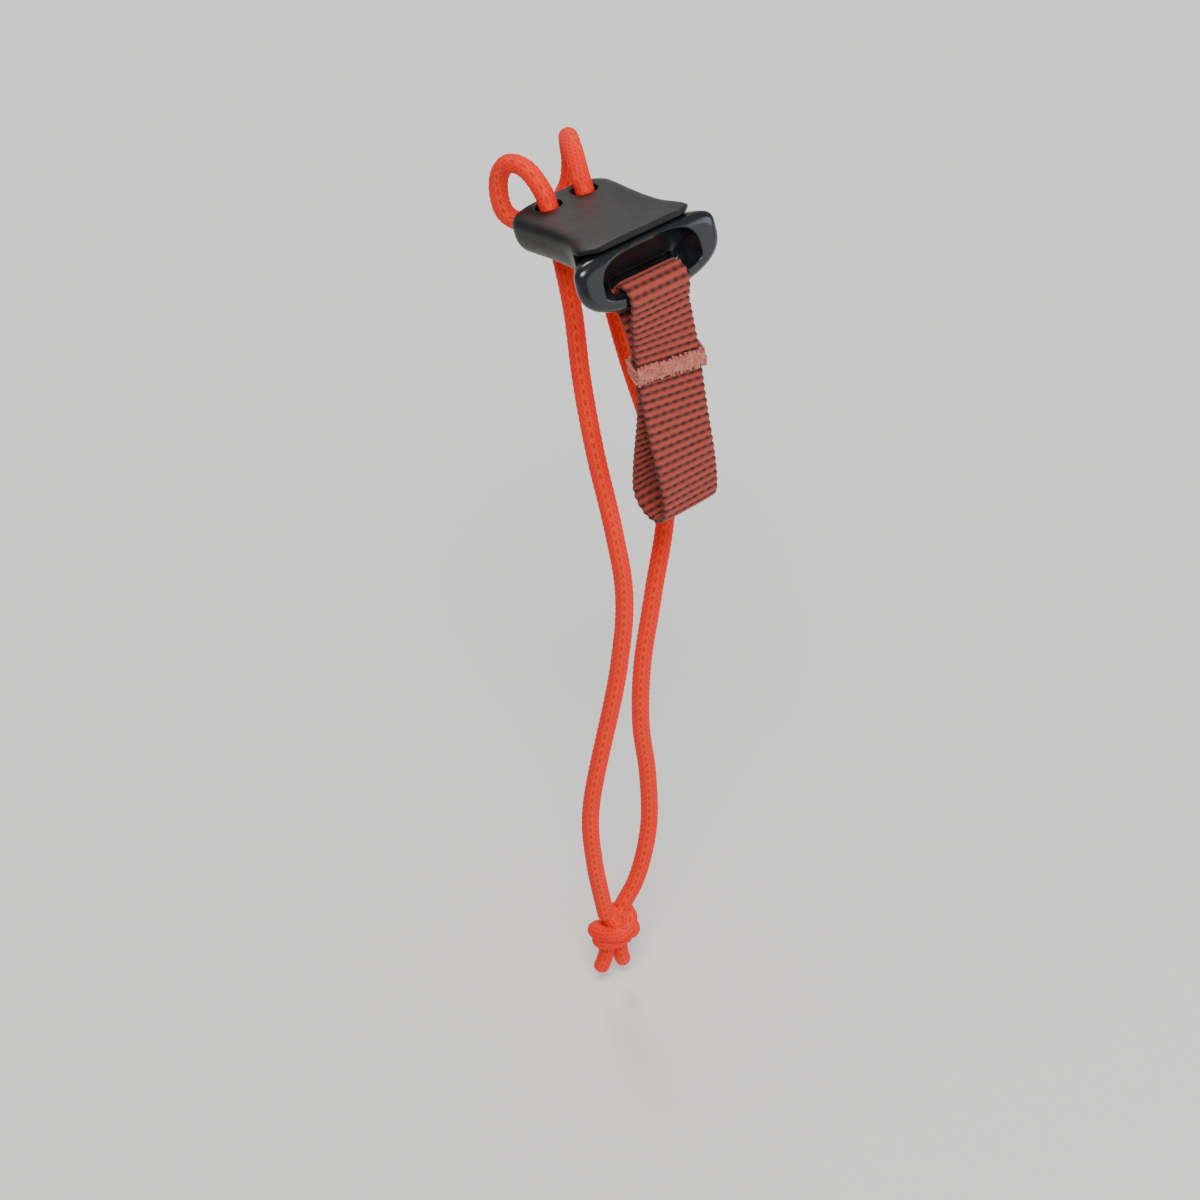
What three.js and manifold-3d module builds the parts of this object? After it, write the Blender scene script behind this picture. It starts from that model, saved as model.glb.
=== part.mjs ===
// A flat drawcord lock with a webbing pull tab.
//
// The lock hangs on a drawcord: both strands pass through its thickness near the rear end.
// A sprung plunger inside presses its clamp head against the strands. Its front end is an oval
// ring in the mouth of the housing, and a loop of webbing round the ring's lower bar pulls it
// outward and frees the cord.
//
// Lengths are millimetres. In the object's frame X runs to the right, -Y points outward and +Z
// is up. The origin lies between the two cord holes, level with the top of the mouth edge.
// The lock is drawn in its own frame (y towards the rear, z through its thickness) and then
// pitched about X, so that its mouth looks outward and up.

import * as THREE from 'three';
import { mergeVertices } from 'three/addons/utils/BufferGeometryUtils.js';
import Module from 'manifold-3d';

const wasm = await Module();
wasm.setup();

// Driving dimensions
const PITCH = THREE.MathUtils.degToRad(23.8);
const CLEARANCE = 0.3;

// Cutting shapes reach this far, past every side of the lock.
const BEYOND = 16;

const HOUSING_LENGTH = 24.8;
const HOUSING_HALF_WIDTH = 8.7;
const REAR_FLARE = 0.5;
const MOUTH_FLARE = 1.5;
const MOUTH_DEPTH = 8;
const REAR_DEPTH = 7;
const REAR_CROWN = 1.0;
const WALL = 1.3;
const BROW_HALF_WIDTH = 8;
const BROW_THICKNESS = 1.05;
const BROW_LENGTH = 3.7;
const BROW_TAPER = 0.8;

const CORD_DIAMETER = 3;
const CORD_HOLE_DIAMETER = 4.2;
const CORD_HOLE_X = 3.3;
const CORD_STATION = 20.6;

const RING_HALF_WIDTH = 12.6;
const RING_TOP = -1.35;
const RING_BOTTOM = -11.5;
const RING_FRONT = -0.9;

const BAR_RADIUS = 1.3;
const BAR_STATION = 0.9;
const BAR_Z = -9.9;
const BAR_LENGTH = 13;
const BAR_GAP_HALF_WIDTH = 5.55;
const BAR_GAP_REAR = 4;
const BAR_GAP_TOP = -6.8;
const SKIRT_BOTTOM = -9;

const NECK_SIZE = 2.1;
const NECK_Z = -3.4;
const WEB_STATION = 8.7;
const WEB_THICKNESS = 1;
const WEB_HALF_WIDTH = 5;
const WEB_TOP = -1.4;
const HEAD_THICKNESS = 2;

const SPRING_WIRE = 0.45;
const SPRING_DIAMETER = 3.7;
const SPRING_TURNS = 3;

const WEBBING_WIDTH = 10.5;
const WEBBING_PLY = 1.1;
const EYE_RADIUS = 1.65;
const TAB_PINCH_TOP = -12;
const TAB_PINCH_BOTTOM = -15.6;
const TAB_FOLD = -43;
const TAB_LOOP_GAP = 6.4;
const TAB_LEAN = 5;
const TAB_DRIFT = 1.6;
const TAB_TURN_AT_TACK = THREE.MathUtils.degToRad(10);
const TAB_TURN_AT_FOLD = THREE.MathUtils.degToRad(-3);

// Stations run from the mouth edge towards the rear; y is 0 at the cord holes.
const stationToY = (station) => station - CORD_STATION;

// Solids

function toSolid(geometry) {
  const bare = geometry.clone();
  bare.deleteAttribute('normal');
  bare.deleteAttribute('uv');
  const merged = mergeVertices(bare, 1e-4);
  const vertProperties = new Float32Array(merged.attributes.position.array);
  const triVerts = new Uint32Array(merged.index.array);
  return new wasm.Manifold(new wasm.Mesh({ numProp: 3, vertProperties, triVerts }));
}

function toGeometry(solid) {
  const mesh = solid.getMesh();
  const geometry = new THREE.BufferGeometry();
  geometry.setAttribute('position', new THREE.BufferAttribute(mesh.vertProperties, 3));
  geometry.setIndex(new THREE.BufferAttribute(mesh.triVerts, 1));
  return geometry;
}

function box(low, high) {
  const size = high.map((value, i) => value - low[i]);
  const centre = high.map((value, i) => (value + low[i]) / 2);
  return toSolid(new THREE.BoxGeometry(...size).translate(...centre));
}

// One closed cross-section in X and Z at the station. It is widest at one height, and above and
// below that it is a half superellipse of its own roundness.
function sectionPoint(section, angle) {
  const cos = Math.cos(angle);
  const sin = Math.sin(angle);
  const upper = sin >= 0;
  const power = 2 / (upper ? section.topRound : section.bottomRound);
  const reach = (upper ? section.top : section.bottom) - section.widest;
  const x = section.halfWidth * Math.sign(cos) * Math.abs(cos) ** power;
  return [x, stationToY(section.station), section.widest + reach * Math.abs(sin) ** power];
}

// A closed body through a row of cross-sections, with flat ends.
function loft(sections, sides = 48) {
  const positions = [];
  const index = [];
  for (const section of sections) {
    for (let i = 0; i < sides; i += 1) {
      positions.push(...sectionPoint(section, (i / sides) * Math.PI * 2));
    }
  }
  for (let ring = 0; ring < sections.length - 1; ring += 1) {
    for (let i = 0; i < sides; i += 1) {
      const a = ring * sides + i;
      const b = ring * sides + ((i + 1) % sides);
      index.push(a, a + sides, b, b, a + sides, b + sides);
    }
  }
  const first = sections[0];
  const last = sections[sections.length - 1];
  const firstCentre = positions.length / 3;
  positions.push(0, stationToY(first.station), first.widest);
  const lastCentre = firstCentre + 1;
  positions.push(0, stationToY(last.station), last.widest);
  const lastRing = (sections.length - 1) * sides;
  for (let i = 0; i < sides; i += 1) {
    const next = (i + 1) % sides;
    index.push(firstCentre, i, next);
    index.push(lastCentre, lastRing + next, lastRing + i);
  }
  const geometry = new THREE.BufferGeometry();
  geometry.setAttribute('position', new THREE.Float32BufferAttribute(positions, 3));
  geometry.setIndex(index);
  return toSolid(geometry);
}

// The housing's outer form

function housingHalfWidth(station) {
  const flare = MOUTH_FLARE * Math.exp(-(((station - 2.5) / 3.5) ** 2));
  return HOUSING_HALF_WIDTH + flare + REAR_FLARE * THREE.MathUtils.smoothstep(station, 12, 24);
}

function housingTop(station) {
  return (REAR_CROWN * station) / HOUSING_LENGTH;
}

function housingBottom(station) {
  const rise = THREE.MathUtils.smoothstep(station, 0, 18);
  return -MOUTH_DEPTH + (MOUTH_DEPTH - REAR_DEPTH) * rise;
}

// How far a corner of the given radius has turned in at the rear end.
function rearInset(station, radius) {
  const past = Math.max(0, station - (HOUSING_LENGTH - radius));
  return radius - Math.sqrt(Math.max(0, radius ** 2 - past ** 2));
}

function housingSection(station, inset) {
  const top = housingTop(station) - rearInset(station, 1.2) - inset;
  return {
    station,
    halfWidth: housingHalfWidth(station) - rearInset(station, 3) - inset,
    top,
    bottom: housingBottom(station) + rearInset(station, 1.2) + inset,
    widest: housingTop(station) - 2.4,
    topRound: 5 - (1.8 * station) / HOUSING_LENGTH,
    bottomRound: 2.8,
  };
}

function housingForm() {
  const stations = [0, 1.2, 2.5, 3.8, 5.2, 7, 10, 14, 18, 21.8, 22.6, 23.3, 23.9, 24.4, 24.7, 24.8];
  return loft(stations.map((station) => housingSection(station, 0)));
}

const CAVITY_END = HOUSING_LENGTH - WALL;
const CAVITY_WIDE_END = CAVITY_END - 1.2;

// The hollow inside: it opens at the mouth, and its floor opening takes the base.
function housingCavity() {
  const stations = [-1, 3, 6, 10, 15, 19, CAVITY_WIDE_END, CAVITY_END];
  const sections = stations.map((station) => {
    const section = housingSection(Math.min(station, CAVITY_WIDE_END), WALL);
    return { ...section, station, topRound: 6 };
  });
  return loft(sections, 40);
}

// The floor opening is a little narrower than the hollow, and runs down out of the cover.
const FLOOR_HALF_WIDTH = 6.2;

function floorOpening(inset = 0) {
  const outline = new THREE.Shape();
  const front = stationToY(-1);
  const rear = stationToY(CAVITY_END) - inset;
  const half = FLOOR_HALF_WIDTH - inset;
  const corner = 1.6;
  outline.moveTo(-half, front);
  outline.lineTo(half, front);
  outline.lineTo(half, rear - corner);
  outline.absarc(half - corner, rear - corner, corner, 0, Math.PI / 2);
  outline.lineTo(-half + corner, rear);
  outline.absarc(-half + corner, rear - corner, corner, Math.PI / 2, Math.PI);
  outline.closePath();
  const geometry = new THREE.ExtrudeGeometry(outline, {
    depth: 10, bevelEnabled: false, curveSegments: 5,
  });
  return toSolid(geometry.translate(0, 0, -MOUTH_DEPTH - 4.5));
}

function cordHoles() {
  const radius = CORD_HOLE_DIAMETER / 2;
  const drill = new THREE.CylinderGeometry(radius, radius, BEYOND * 2, 20).rotateX(Math.PI / 2);
  const left = toSolid(drill.clone().translate(-CORD_HOLE_X, 0, 0));
  const right = toSolid(drill.clone().translate(CORD_HOLE_X, 0, 0));
  return left.add(right);
}

// Everything in front of the side walls goes, except the brow over the ring.
function mouthCut() {
  const below = box(
    [-BEYOND, stationToY(-2), -BEYOND],
    [BEYOND, stationToY(BROW_LENGTH), -BROW_THICKNESS],
  );
  const side = new THREE.Shape();
  side.moveTo(BROW_HALF_WIDTH, stationToY(-2));
  side.lineTo(BEYOND, stationToY(-2));
  side.lineTo(BEYOND, stationToY(BROW_LENGTH));
  side.lineTo(BROW_HALF_WIDTH + BROW_LENGTH * BROW_TAPER, stationToY(BROW_LENGTH));
  side.lineTo(BROW_HALF_WIDTH, stationToY(0));
  side.closePath();
  const wedge = new THREE.ExtrudeGeometry(side, { depth: BEYOND * 2, bevelEnabled: false });
  wedge.translate(0, 0, -BEYOND);
  const right = toSolid(wedge);
  const left = toSolid(mirrored(wedge));
  return below.add(right).add(left);
}

// The same shape on the other side of the lock, with its faces turned to point out again.
function mirrored(geometry) {
  const copy = geometry.clone().scale(-1, 1, 1);
  const position = copy.attributes.position;
  for (let i = 0; i < position.count; i += 3) {
    const first = new THREE.Vector3().fromBufferAttribute(position, i);
    const third = new THREE.Vector3().fromBufferAttribute(position, i + 2);
    position.setXYZ(i, third.x, third.y, third.z);
    position.setXYZ(i + 2, first.x, first.y, first.z);
  }
  return copy;
}

function housingCover() {
  const shell = housingForm().subtract(housingCavity()).subtract(floorOpening());
  return shell.subtract(mouthCut()).subtract(cordHoles());
}

// The base fills the floor opening. Its upright web carries the spring, and a slot open at the
// top lets the plunger's neck drop in.
const BASE_FRONT = 5.4;

function housingBase() {
  const front = box(
    [-BEYOND, stationToY(-2), -BEYOND],
    [BEYOND, stationToY(BASE_FRONT), BEYOND],
  );
  const plate = housingForm().intersect(floorOpening(CLEARANCE)).subtract(housingCavity());
  const web = box(
    [-WEB_HALF_WIDTH, stationToY(WEB_STATION), housingBottom(WEB_STATION) + 1],
    [WEB_HALF_WIDTH, stationToY(WEB_STATION + WEB_THICKNESS), WEB_TOP],
  );
  const slotHalf = NECK_SIZE / 2 + CLEARANCE;
  const slot = box(
    [-slotHalf, stationToY(WEB_STATION - 1), NECK_Z - slotHalf],
    [slotHalf, stationToY(WEB_STATION + WEB_THICKNESS + 1), WEB_TOP + 1],
  );
  return plate.subtract(front).add(web.subtract(slot)).subtract(cordHoles());
}

// The plunger

// The ring's outline: square shoulders under the brow, and a round lower half.
function ringSection(station, inset, width = RING_HALF_WIDTH) {
  return {
    station,
    halfWidth: width - inset,
    top: RING_TOP - inset,
    bottom: RING_BOTTOM + inset,
    widest: -5.2,
    topRound: 4.6,
    bottomRound: 2.5,
  };
}

function ringForm() {
  return loft([
    ringSection(RING_FRONT, 1.6),
    ringSection(RING_FRONT + 0.2, 0.9),
    ringSection(RING_FRONT + 0.6, 0.4),
    ringSection(RING_FRONT + 1.2, 0.1),
    ringSection(0.4, 0),
    ringSection(1.4, 0, RING_HALF_WIDTH - 0.5),
    ringSection(2.4, 0, RING_HALF_WIDTH - 1.4),
    ringSection(BROW_LENGTH - CLEARANCE, 0.05, RING_HALF_WIDTH - 2.2),
  ], 56);
}

function plungerBlock() {
  const section = {
    halfWidth: 6.7, top: -1.75, bottom: -5.8, widest: -2.8, topRound: 6, bottomRound: 2.6,
  };
  const stations = [BROW_LENGTH - CLEARANCE - 0.4, WEB_STATION - CLEARANCE];
  return loft(stations.map((station) => ({ station, ...section })), 40);
}

// A scoop: its back wall starts at the top lip and falls away inward, down to the webbing.
function ringPocket() {
  const front = -1.2;
  const depth = 4.3;
  const steps = 9;
  const sections = [];
  for (let i = 0; i <= steps; i += 1) {
    const fraction = i / steps;
    sections.push({
      station: front + depth * fraction,
      halfWidth: 8.8 - 2 * fraction ** 1.5,
      top: -1.85 - 5.2 * fraction ** 2.6,
      bottom: -9.4,
      widest: -7.3 - 0.3 * fraction,
      topRound: 3.4,
      bottomRound: 2.4,
    });
  }
  return loft(sections, 44);
}

// A skirt behind the webbing's slot closes the plunger's front end below its block.
function plungerSkirt() {
  const halfWidth = FLOOR_HALF_WIDTH - CLEARANCE;
  return box(
    [-halfWidth, stationToY(BAR_GAP_REAR - 0.8), SKIRT_BOTTOM],
    [halfWidth, stationToY(BASE_FRONT - CLEARANCE), -4],
  );
}

function webbingGap() {
  return box(
    [-BAR_GAP_HALF_WIDTH, stationToY(RING_FRONT - 1), RING_BOTTOM - 1],
    [BAR_GAP_HALF_WIDTH, stationToY(BAR_GAP_REAR), BAR_GAP_TOP],
  );
}

function webbingBar() {
  const bar = new THREE.CylinderGeometry(BAR_RADIUS, BAR_RADIUS, BAR_LENGTH, 20);
  return toSolid(bar.rotateZ(Math.PI / 2).translate(0, stationToY(BAR_STATION), BAR_Z));
}

const HEAD_FACE = CORD_STATION - CORD_DIAMETER / 2 - CLEARANCE;

// The clamp head's rear face has low teeth across it.
function clampHead() {
  const section = {
    halfWidth: 6.7, top: -1.2, bottom: -5.4, widest: -2.4, topRound: 6, bottomRound: 2.6,
  };
  const stations = [HEAD_FACE - HEAD_THICKNESS, HEAD_FACE + 1];
  const form = loft(stations.map((station) => ({ station, ...section })), 40);
  const profile = new THREE.Shape();
  const low = -7;
  const pitch = 1.2;
  const teeth = 6;
  profile.moveTo(HEAD_FACE - HEAD_THICKNESS - 1, low);
  for (let i = 0; i < teeth; i += 1) {
    profile.lineTo(HEAD_FACE - 0.4, low + i * pitch);
    profile.lineTo(HEAD_FACE, low + (i + 0.5) * pitch);
  }
  profile.lineTo(HEAD_FACE - 0.4, low + teeth * pitch);
  profile.lineTo(HEAD_FACE - HEAD_THICKNESS - 1, low + teeth * pitch);
  profile.closePath();
  const width = 16;
  const geometry = new THREE.ExtrudeGeometry(profile, { depth: width, bevelEnabled: false });
  geometry.translate(-CORD_STATION, 0, -width / 2).rotateX(Math.PI / 2).rotateZ(Math.PI / 2);
  return form.intersect(toSolid(geometry));
}

function plunger() {
  const half = NECK_SIZE / 2;
  const neck = box(
    [-half, stationToY(WEB_STATION - 1), NECK_Z - half],
    [half, stationToY(HEAD_FACE - 1), NECK_Z + half],
  );
  const body = ringForm().add(plungerBlock()).add(plungerSkirt()).subtract(ringPocket());
  return body.subtract(webbingGap()).add(webbingBar()).add(neck).add(clampHead());
}

// The spring, wound round the plunger's neck between the base's web and the clamp head

class Helix extends THREE.Curve {
  constructor(radius, length, turns) {
    super();
    this.radius = radius;
    this.length = length;
    this.turns = turns;
  }

  getPoint(t, target = new THREE.Vector3()) {
    const angle = t * this.turns * Math.PI * 2;
    const x = this.radius * Math.cos(angle);
    const z = this.radius * Math.sin(angle);
    return target.set(x, t * this.length, z);
  }
}

function spring() {
  const start = WEB_STATION + WEB_THICKNESS + CLEARANCE + SPRING_WIRE / 2;
  const end = HEAD_FACE - HEAD_THICKNESS - CLEARANCE - SPRING_WIRE / 2;
  const wire = new THREE.Shape();
  wire.absarc(0, 0, SPRING_WIRE / 2, 0, Math.PI * 2);
  const path = new Helix(SPRING_DIAMETER / 2, end - start, SPRING_TURNS);
  const geometry = new THREE.ExtrudeGeometry(wire, {
    steps: SPRING_TURNS * 18, extrudePath: path, curveSegments: 4,
  });
  return toSolid(geometry.translate(0, stationToY(start), NECK_Z));
}

// The pull tab hangs from the bar: its outline is drawn in Y and Z about the bar's axis.

function tabOutline() {
  const outer = EYE_RADIUS + WEBBING_PLY;
  const pinch = WEBBING_PLY;
  const loop = TAB_LOOP_GAP / 2 + WEBBING_PLY;
  const foldCentre = TAB_FOLD + loop;
  const shape = new THREE.Shape();
  shape.moveTo(outer, 0);
  shape.absarc(0, 0, outer, 0, Math.PI);
  shape.bezierCurveTo(-outer, -5, -pinch, TAB_PINCH_TOP + 6, -pinch, TAB_PINCH_TOP);
  shape.lineTo(-pinch, TAB_PINCH_BOTTOM);
  shape.bezierCurveTo(-pinch, TAB_PINCH_BOTTOM - 8, -loop, foldCentre + 9, -loop, foldCentre);
  shape.absarc(0, foldCentre, loop, Math.PI, Math.PI * 2);
  shape.bezierCurveTo(loop, foldCentre + 9, pinch, TAB_PINCH_BOTTOM - 8, pinch, TAB_PINCH_BOTTOM);
  shape.lineTo(pinch, TAB_PINCH_TOP);
  shape.bezierCurveTo(pinch, TAB_PINCH_TOP + 6, outer, -5, outer, 0);
  return shape;
}

function tabEye() {
  const eye = new THREE.Path();
  eye.moveTo(EYE_RADIUS, 0);
  eye.absarc(0, 0, EYE_RADIUS, 0, Math.PI);
  eye.bezierCurveTo(-EYE_RADIUS, -4.5, -0.25, TAB_PINCH_TOP + 5, 0, TAB_PINCH_TOP + 1);
  eye.bezierCurveTo(0.25, TAB_PINCH_TOP + 5, EYE_RADIUS, -4.5, EYE_RADIUS, 0);
  return eye;
}

function tabLoop() {
  const inner = TAB_LOOP_GAP / 2;
  const foldCentre = TAB_FOLD + inner + WEBBING_PLY;
  const top = TAB_PINCH_BOTTOM - 1;
  const loop = new THREE.Path();
  loop.moveTo(0, top);
  loop.bezierCurveTo(-0.2, top - 6, -inner, foldCentre + 9, -inner, foldCentre);
  loop.absarc(0, foldCentre, inner, Math.PI, Math.PI * 2);
  loop.bezierCurveTo(inner, foldCentre + 9, 0.2, top - 6, 0, top);
  return loop;
}

function extrudeAcross(shape, width, curveSegments) {
  const geometry = new THREE.ExtrudeGeometry(shape, {
    depth: width, bevelEnabled: false, curveSegments,
  });
  return geometry.translate(0, 0, -width / 2).rotateX(Math.PI / 2).rotateZ(Math.PI / 2);
}

// Below the eye the tab leans outward and to the right. It turns left down to the bar tack and
// back again to the fold.
function hang(geometry) {
  const position = geometry.attributes.position;
  for (let i = 0; i < position.count; i += 1) {
    const z = position.getZ(i);
    const drop = Math.max(0, -z - 3);
    const turn = TAB_TURN_AT_TACK * THREE.MathUtils.smoothstep(-z, 2, 13)
      + (TAB_TURN_AT_FOLD - TAB_TURN_AT_TACK) * THREE.MathUtils.smoothstep(-z, 16, 39);
    const x = position.getX(i) * Math.cos(turn) + position.getY(i) * Math.sin(turn);
    const y = position.getY(i) * Math.cos(turn) - position.getX(i) * Math.sin(turn);
    const drift = TAB_DRIFT * (1 - Math.exp(-drop / 10));
    const lean = TAB_LEAN * (1 - Math.exp(-drop / 15));
    position.setXYZ(i, x + drift, y - lean, z);
  }
  return geometry;
}

function pullTab() {
  const shape = tabOutline();
  shape.holes.push(tabEye(), tabLoop());
  return toSolid(hang(extrudeAcross(shape, WEBBING_WIDTH, 12)));
}

// The band of thread that pinches the two plies together
function barTack() {
  const thread = 0.5;
  const halfWidth = WEBBING_WIDTH / 2 + CLEARANCE;
  const halfDepth = WEBBING_PLY + CLEARANCE;
  const low = TAB_PINCH_BOTTOM + 0.2;
  const high = TAB_PINCH_TOP - 0.1;
  const outer = box(
    [-halfWidth - thread, -halfDepth - thread, low],
    [halfWidth + thread, halfDepth + thread, high],
  );
  const inner = box([-halfWidth, -halfDepth, low - 1], [halfWidth, halfDepth, high + 1]);
  return toSolid(hang(toGeometry(outer.subtract(inner))));
}

// The drawcord: up the left strand, through the lock, a short bight behind it, and back down
// through the lock to the knot. Points in the object's frame.
const CORD_ROUTE = [
  [-3.6, -15.4, -152.4],
  [-6.5, -16, -135],
  [-7.5, -16.5, -120.5],
  [-2.6, -17.5, -87.5],
  [-1.8, -17.9, -70],
  [-3.2, -16.8, -55],
  [-4.4, -13.4, -39.7],
  [-4.1, -9.4, -27.5],
  [-3.4, -6, -15.5],
  [-3.3, -2.2, -5],
  [-3.3, 0, 0],
  [-3.3, 2, 2.5],
  [-3.5, 6, 4],
  [-3.9, 10.2, 2.4],
  [-4.2, 12.4, -1.5],
  [-4.2, 12.5, -5.5],
  [-3.4, 12.1, -9],
  [-1, 11.8, -11.7],
  [2.5, 11.7, -12.8],
  [6, 11.8, -11.7],
  [8.4, 12.1, -9],
  [9.2, 12.5, -5.5],
  [8.8, 12.4, -1.5],
  [7.2, 10.2, 2.4],
  [5.1, 6, 4],
  [3.6, 2, 2.5],
  [3.3, 0, 0],
  [3.3, -2.2, -5],
  [3.5, -6, -15.5],
  [4.6, -9.6, -27.5],
  [6.2, -13.4, -40],
  [7.2, -16.6, -54],
  [3.9, -18, -73],
  [2.2, -17.6, -89],
  [2.3, -17.2, -104],
  [4.3, -16.6, -119],
  [4.9, -16.2, -134],
  [2.8, -15.6, -147],
  [0, -15.4, -152.4],
];
const CORD_STEPS = 64;

function drawcord() {
  const points = CORD_ROUTE.map((point) => new THREE.Vector3(...point));
  const path = new THREE.CatmullRomCurve3(points, false, 'centripetal');
  const section = new THREE.Shape();
  section.absarc(0, 0, CORD_DIAMETER / 2, 0, Math.PI * 2);
  const geometry = new THREE.ExtrudeGeometry(section, {
    steps: CORD_STEPS, extrudePath: path, curveSegments: 4,
  });
  return toSolid(geometry);
}

// The overhand knot of both strands, with two blunt tails side by side
const KNOT_CENTRE = [-1.9, -15.2, -157.2];
const KNOT_RADII = [4.2, 3.9, 4.3];
const TAIL_END_Z = -168.6;

function knotTail(x) {
  const top = KNOT_CENTRE[2];
  const radius = CORD_DIAMETER / 2;
  const tail = new THREE.CylinderGeometry(radius, radius, top - TAIL_END_Z, 12);
  tail.rotateX(Math.PI / 2);
  return toSolid(tail.translate(x, KNOT_CENTRE[1], (top + TAIL_END_Z) / 2));
}

function drawcordKnot() {
  const lump = new THREE.SphereGeometry(1, 20, 14).scale(...KNOT_RADII).translate(...KNOT_CENTRE);
  const spread = CORD_DIAMETER / 2 - 0.1;
  const left = knotTail(KNOT_CENTRE[0] - spread);
  const right = knotTail(KNOT_CENTRE[0] + spread);
  return toSolid(lump).add(left).add(right);
}

// The object

const CHARCOAL = { color: 0x2e2c2a, roughness: 0.62, metalness: 0 };
const BLACK = { color: 0x1c1d20, roughness: 0.35, metalness: 0 };
const STEEL = { color: 0xb8bcc2, roughness: 0.3, metalness: 1 };
const RUST = { color: 0x8c3d34, roughness: 0.9, metalness: 0 };
const THREAD = { color: 0xc87a6c, roughness: 0.8, metalness: 0 };
const ORANGE = { color: 0xe83218, roughness: 0.75, metalness: 0 };

function piece(name, solid, finish) {
  const mesh = new THREE.Mesh(toGeometry(solid), new THREE.MeshStandardMaterial(finish));
  mesh.name = name;
  return mesh;
}

const lock = new THREE.Group();
lock.add(piece('housing_cover', housingCover(), CHARCOAL));
lock.add(piece('housing_base', housingBase(), CHARCOAL));
lock.add(piece('plunger', plunger(), BLACK));
lock.add(piece('spring', spring(), STEEL));
lock.rotation.x = -PITCH;

// The tab hangs straight down from the bar of the pitched lock.
const barPlace = new THREE.Vector3(0, stationToY(BAR_STATION), BAR_Z);
barPlace.applyAxisAngle(new THREE.Vector3(1, 0, 0), -PITCH);

const tab = new THREE.Group();
tab.add(piece('pull_tab', pullTab(), RUST));
tab.add(piece('bar_tack', barTack(), THREAD));
tab.position.copy(barPlace);

const part = new THREE.Group();
part.add(lock);
part.add(tab);
part.add(piece('drawcord', drawcord(), ORANGE));
part.add(piece('drawcord_knot', drawcordKnot(), ORANGE));

export default part;
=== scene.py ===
import math

import bmesh
import bpy
import numpy as np
from mathutils import Matrix, Vector


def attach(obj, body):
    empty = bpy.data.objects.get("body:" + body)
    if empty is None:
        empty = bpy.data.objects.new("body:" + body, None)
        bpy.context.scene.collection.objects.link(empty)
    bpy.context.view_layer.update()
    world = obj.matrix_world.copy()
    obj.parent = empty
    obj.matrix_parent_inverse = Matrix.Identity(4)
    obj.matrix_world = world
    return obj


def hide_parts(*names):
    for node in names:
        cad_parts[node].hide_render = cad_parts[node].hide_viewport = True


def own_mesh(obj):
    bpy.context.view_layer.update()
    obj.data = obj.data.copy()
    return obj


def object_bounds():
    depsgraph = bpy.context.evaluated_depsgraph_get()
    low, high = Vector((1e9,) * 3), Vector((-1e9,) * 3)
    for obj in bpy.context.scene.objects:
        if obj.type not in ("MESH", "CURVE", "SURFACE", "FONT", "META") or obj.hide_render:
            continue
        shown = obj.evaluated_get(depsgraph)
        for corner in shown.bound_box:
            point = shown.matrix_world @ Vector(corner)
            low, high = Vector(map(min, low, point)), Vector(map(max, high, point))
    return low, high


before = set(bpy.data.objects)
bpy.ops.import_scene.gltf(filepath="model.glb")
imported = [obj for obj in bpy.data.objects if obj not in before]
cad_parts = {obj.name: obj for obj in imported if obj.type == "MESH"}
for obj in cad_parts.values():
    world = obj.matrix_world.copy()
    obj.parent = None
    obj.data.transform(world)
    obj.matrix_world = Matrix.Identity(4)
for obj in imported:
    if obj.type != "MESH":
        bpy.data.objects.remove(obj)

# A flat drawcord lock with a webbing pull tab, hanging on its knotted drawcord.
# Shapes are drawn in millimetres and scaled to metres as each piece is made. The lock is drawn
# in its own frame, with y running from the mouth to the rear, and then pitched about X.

CAD_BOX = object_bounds()
MM = 0.001
PITCH = math.radians(23.8)
LOCK = Matrix.Rotation(-PITCH, 4, "X")

VIEW_AZIMUTH = math.radians(-35.1)
VIEW_ELEVATION = math.radians(46.3)
VIEW_BACK = Vector((
    math.sin(VIEW_AZIMUTH) * math.cos(VIEW_ELEVATION),
    -math.cos(VIEW_AZIMUTH) * math.cos(VIEW_ELEVATION),
    math.sin(VIEW_ELEVATION),
))
CAMERA_LENS = 120
CAMERA_DISTANCE = 0.66
FLOOR_SIZE = 3.0
FLOOR_DROP = 0.004

# The lock's sizes in millimetres, in its own frame. Stations run from the mouth to the rear.

# Cutting shapes reach this far, past every side of the lock.
BEYOND = 16

HOUSING_LENGTH = 24.8
HOUSING_HALF_WIDTH = 8.7
REAR_FLARE = 0.5
MOUTH_FLARE = 1.5
MOUTH_DEPTH = 8
REAR_DEPTH = 7
REAR_CORNER = 3.0
REAR_EDGE = 1.2
WALL = 1.3
FLOOR_HALF_WIDTH = 6.2
FLOOR_TOP = -2.5
FLOOR_CORNER = 1.6
BASE_GAP = 0.3
BASE_FRONT = 5.4
BROW_THICKNESS = 1.05
BROW_LENGTH = 3.7
BROW_CORNER_X = 6.6
BROW_SIDE_X = 10.95

CORD_DIAMETER = 3.0
CORD_HOLE_DIAMETER = 4.2
CORD_HOLE_X = 3.3
CORD_STATION = 20.6

RING_HALF_WIDTH = 12.6
RING_TOP = -1.35
RING_BOTTOM = -11.5
SCOOP_START = 1.2
SCOOP_DEPTH = 4.3
SCOOP_HALF_WIDTH = 8.8
SCOOP_TOP = -1.85
SCOOP_FALL = 5.2
SCOOP_BOTTOM = -9.4

BAR_RADIUS = 1.3
BAR_STATION = 0.9
BAR_Z = -9.9
BAR_LENGTH = 13
BAR_GAP_HALF_WIDTH = 5.55
BAR_GAP_REAR = 4
BAR_GAP_TOP = -6.8
SKIRT_HALF_WIDTH = 5.9
SKIRT_BOTTOM = -9

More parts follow.
